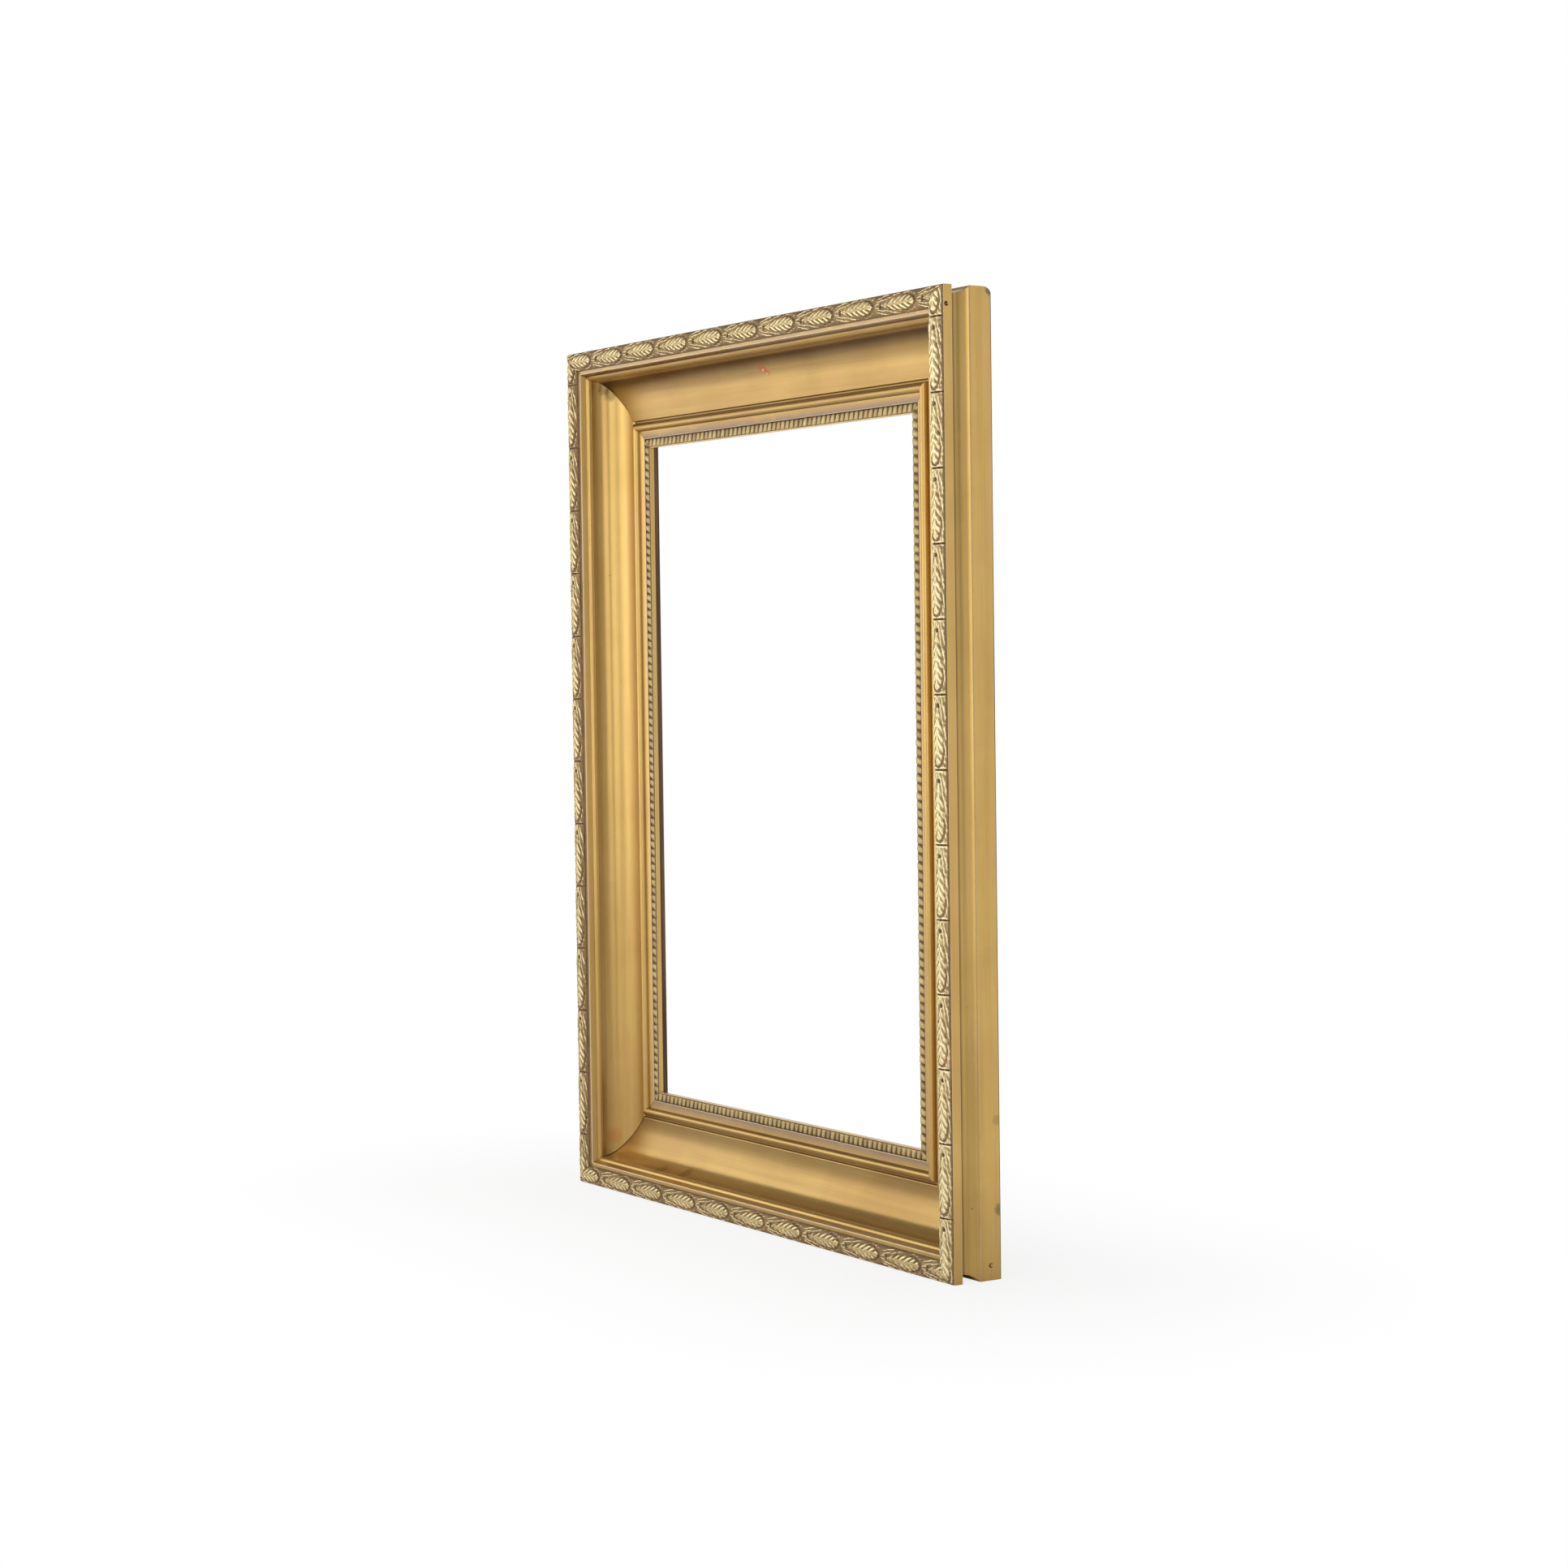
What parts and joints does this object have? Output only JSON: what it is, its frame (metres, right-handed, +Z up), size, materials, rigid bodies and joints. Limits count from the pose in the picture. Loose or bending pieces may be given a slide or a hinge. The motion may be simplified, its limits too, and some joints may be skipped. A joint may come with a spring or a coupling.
{
  "type": "picture frame",
  "caption": "Mitred gilded picture frame with a deep scooped moulding, cast laurel and bead runs, a rear rebate with turn buttons, and strap hangers with rings.",
  "frame": {"origin": "under the middle of the bottom edge, at half the depth from the laurel's crest to the screw heads", "axes": "+X to the right as seen from the front, +Y to the back, +Z up"},
  "size_m": [0.728, 0.065, 0.931],
  "materials": {
    "gilt_wood": "satin gilding over gesso",
    "gilt_composition": "satin gilding over cast composition",
    "iron_nail": "dark and dull",
    "aged_brass": "dull aged brass"
  },
  "bodies": {
    "frame": {"back_rail_top": "gilt_wood", "back_rail_bottom": "gilt_wood", "back_rail_left": "gilt_wood", "back_rail_right": "gilt_wood", "outer_rail_top": "gilt_wood", "outer_rail_bottom": "gilt_wood", "outer_rail_left": "gilt_wood", "outer_rail_right": "gilt_wood", "cove_rail_top": "gilt_wood", "cove_rail_bottom": "gilt_wood", "cove_rail_left": "gilt_wood", "cove_rail_right": "gilt_wood", "sight_rail_top": "gilt_wood", "sight_rail_bottom": "gilt_wood", "sight_rail_left": "gilt_wood", "sight_rail_right": "gilt_wood", "laurel_top": "gilt_composition", "laurel_bottom": "gilt_composition", "laurel_left": "gilt_composition", "laurel_right": "gilt_composition", "bead_top": "gilt_composition", "bead_bottom": "gilt_composition", "bead_left": "gilt_composition", "bead_right": "gilt_composition", "front_mitre_nails": "iron_nail", "back_mitre_nails": "iron_nail", "button_screws": "aged_brass", "hanger_screws": "aged_brass", "strap_hanger_left": "aged_brass", "strap_hanger_right": "aged_brass"},
    "turn_button_left_upper": {"turn_button_left_upper": "aged_brass"},
    "turn_button_left_lower": {"turn_button_left_lower": "aged_brass"},
    "turn_button_right_upper": {"turn_button_right_upper": "aged_brass"},
    "turn_button_right_lower": {"turn_button_right_lower": "aged_brass"},
    "turn_button_top": {"turn_button_top": "aged_brass"},
    "turn_button_bottom": {"turn_button_bottom": "aged_brass"},
    "hang_ring_left": {"hang_ring_left": "aged_brass"},
    "hang_ring_right": {"hang_ring_right": "aged_brass"}
  },
  "joints": [
    {"name": "turn_button_left_upper_pivot", "type": "hinge", "parent": "frame", "child": "turn_button_left_upper", "pos_m": [-0.2725, 0.0285, 0.6435], "axis": [0, 1, 0], "continuous": true},
    {"name": "turn_button_left_lower_pivot", "type": "hinge", "parent": "frame", "child": "turn_button_left_lower", "pos_m": [-0.2725, 0.0285, 0.2875], "axis": [0, 1, 0], "continuous": true},
    {"name": "turn_button_right_upper_pivot", "type": "hinge", "parent": "frame", "child": "turn_button_right_upper", "pos_m": [0.2725, 0.0285, 0.6435], "axis": [0, 1, 0], "continuous": true},
    {"name": "turn_button_right_lower_pivot", "type": "hinge", "parent": "frame", "child": "turn_button_right_lower", "pos_m": [0.2725, 0.0285, 0.2875], "axis": [0, 1, 0], "continuous": true},
    {"name": "turn_button_top_pivot", "type": "hinge", "parent": "frame", "child": "turn_button_top", "pos_m": [0, 0.0285, 0.8395], "axis": [0, 1, 0], "continuous": true},
    {"name": "turn_button_bottom_pivot", "type": "hinge", "parent": "frame", "child": "turn_button_bottom", "pos_m": [0, 0.0285, 0.0915], "axis": [0, 1, 0], "continuous": true},
    {"name": "hang_ring_left_swing", "type": "hinge", "parent": "frame", "child": "hang_ring_left", "pos_m": [-0.316, 0.02206, 0.696], "axis": [1, 0, 0], "range_deg": [0, 180]},
    {"name": "hang_ring_right_swing", "type": "hinge", "parent": "frame", "child": "hang_ring_right", "pos_m": [0.316, 0.02206, 0.696], "axis": [1, 0, 0], "range_deg": [0, 180]}
  ]
}
